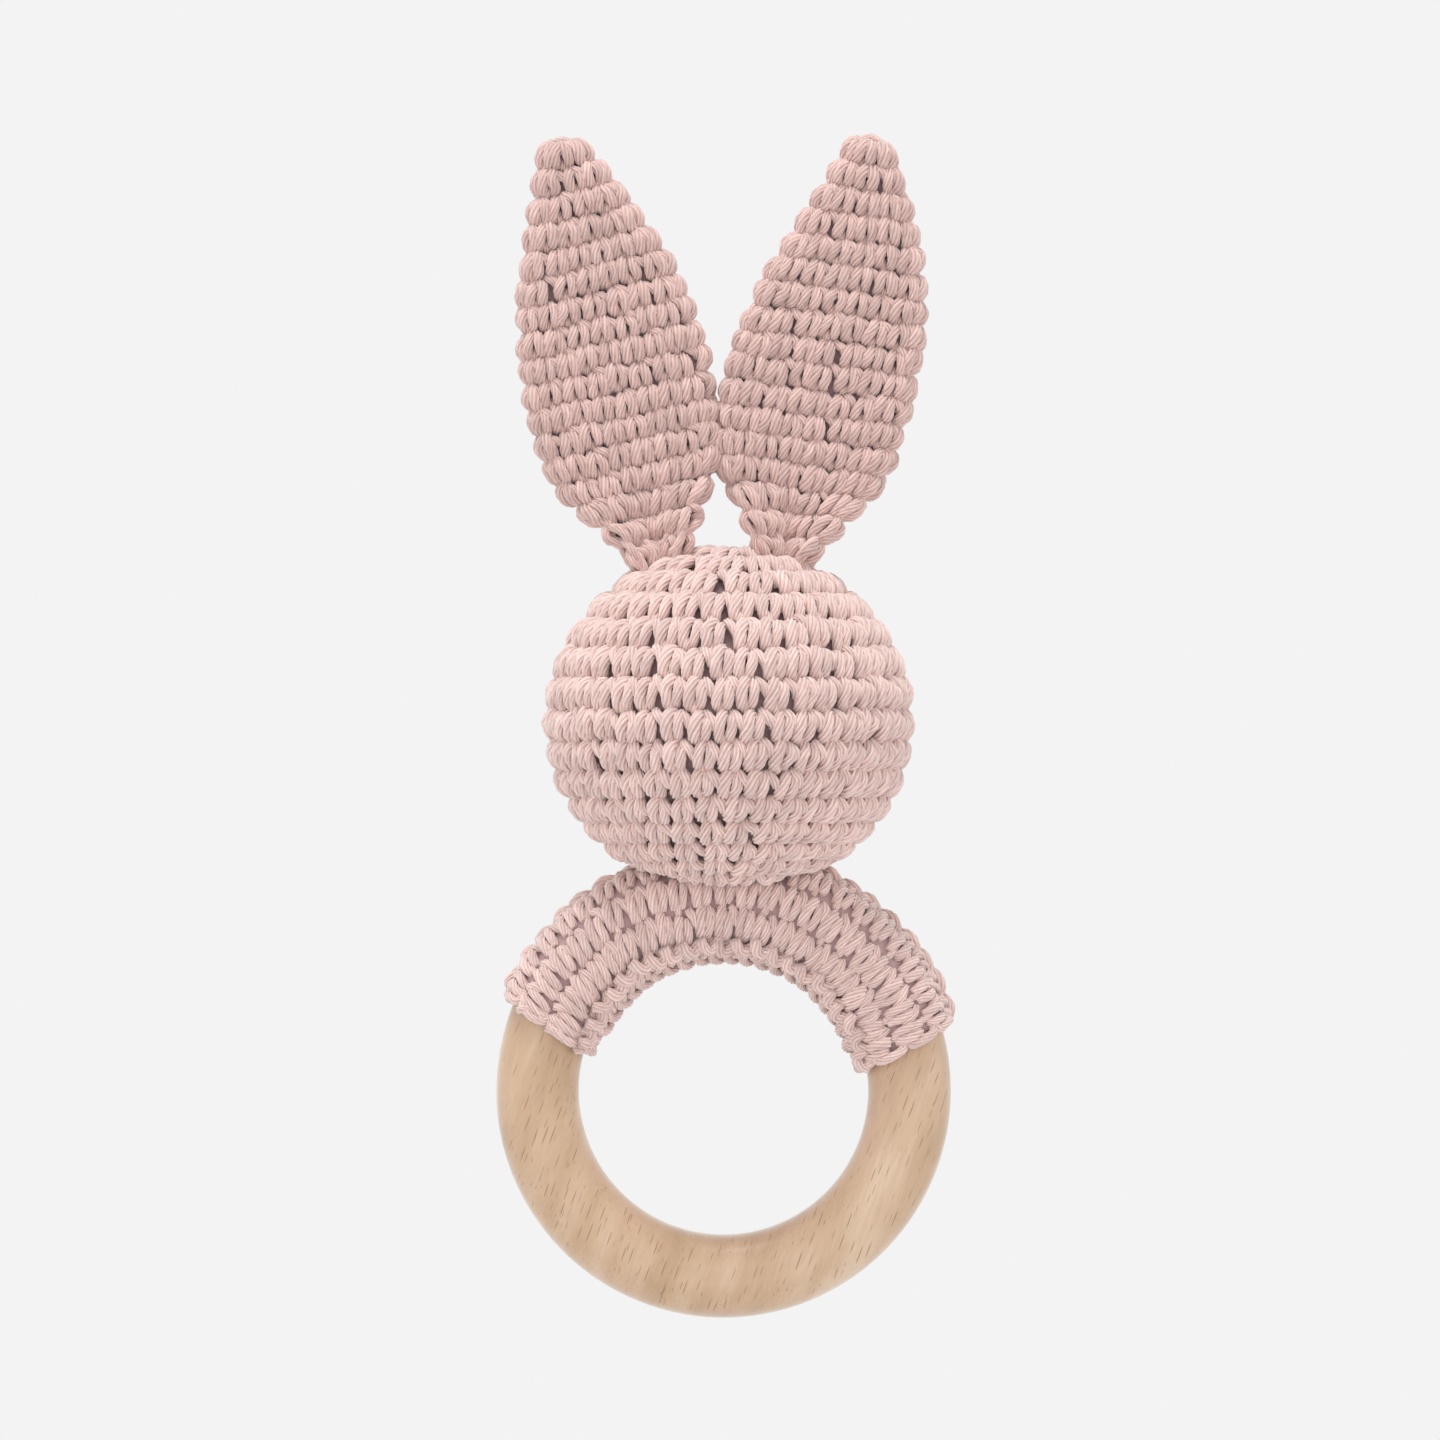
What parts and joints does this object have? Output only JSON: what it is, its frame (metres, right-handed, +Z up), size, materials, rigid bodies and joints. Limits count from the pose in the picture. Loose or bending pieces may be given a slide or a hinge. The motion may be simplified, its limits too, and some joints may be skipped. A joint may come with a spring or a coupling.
{
  "type": "teething ring",
  "caption": "Round wooden teething hoop with a crocheted bunny head sewn astride a crocheted sleeve, two long floppy ears and a rattle inside the head.",
  "frame": {"origin": "centre of the wooden ring", "axes": "+Y along the ring's axis, away from the front face; +Z up from the ring through the head to the ear tips; +X to the right as seen from the front"},
  "size_m": [0.0711, 0.0562, 0.1831],
  "materials": {
    "beech": "satin",
    "cotton_yarn": "matte",
    "fibre_filling": "matte",
    "rattle_plastic": "satin",
    "bead_plastic": "gloss"
  },
  "bodies": {
    "ring": {"wooden_ring": "beech"},
    "sleeve": {"ring_sleeve": "cotton_yarn", "sleeve_seam_yarn": "cotton_yarn"},
    "head": {"head_cover": "cotton_yarn", "head_stuffing": "fibre_filling", "neck_seam_yarn": "cotton_yarn", "ear_left_seam_yarn": "cotton_yarn", "ear_right_seam_yarn": "cotton_yarn", "rattle_drum": "rattle_plastic", "rattle_cap": "rattle_plastic"},
    "left_ear": {"ear_left": "cotton_yarn"},
    "right_ear": {"ear_right": "cotton_yarn"},
    "bead_1": {"rattle_bead_1": "bead_plastic"},
    "bead_2": {"rattle_bead_2": "bead_plastic"},
    "bead_3": {"rattle_bead_3": "bead_plastic"},
    "bead_4": {"rattle_bead_4": "bead_plastic"}
  },
  "joints": [
    {"name": "sleeve_turn", "type": "hinge", "parent": "ring", "child": "sleeve", "pos_m": [0, 0, 0], "axis": [0, 1, 0], "continuous": true},
    {"name": "head_nod", "type": "hinge", "parent": "sleeve", "child": "head", "pos_m": [0, 0, 0.02865], "axis": [1, 0, 0], "range_deg": [-12, 12]},
    {"name": "left_ear_flop", "type": "hinge", "parent": "head", "child": "left_ear", "pos_m": [-0.0107, 0, 0.0864], "axis": [1, 0, 0], "range_deg": [-85, 85]},
    {"name": "right_ear_flop", "type": "hinge", "parent": "head", "child": "right_ear", "pos_m": [0.0103, 0, 0.0864], "axis": [1, 0, 0], "range_deg": [-85, 85]},
    {"name": "bead_1_roll", "type": "hinge", "parent": "head", "child": "bead_1", "pos_m": [-0.0069, 0, 0.0569], "axis": [1, 0, 0], "continuous": true},
    {"name": "bead_2_roll", "type": "hinge", "parent": "head", "child": "bead_2", "pos_m": [-0.0024, 0, 0.0569], "axis": [1, 0, 0], "continuous": true},
    {"name": "bead_3_roll", "type": "hinge", "parent": "head", "child": "bead_3", "pos_m": [0.0021, 0, 0.0569], "axis": [1, 0, 0], "continuous": true},
    {"name": "bead_4_roll", "type": "hinge", "parent": "head", "child": "bead_4", "pos_m": [0.0066, 0, 0.0569], "axis": [1, 0, 0], "continuous": true}
  ]
}
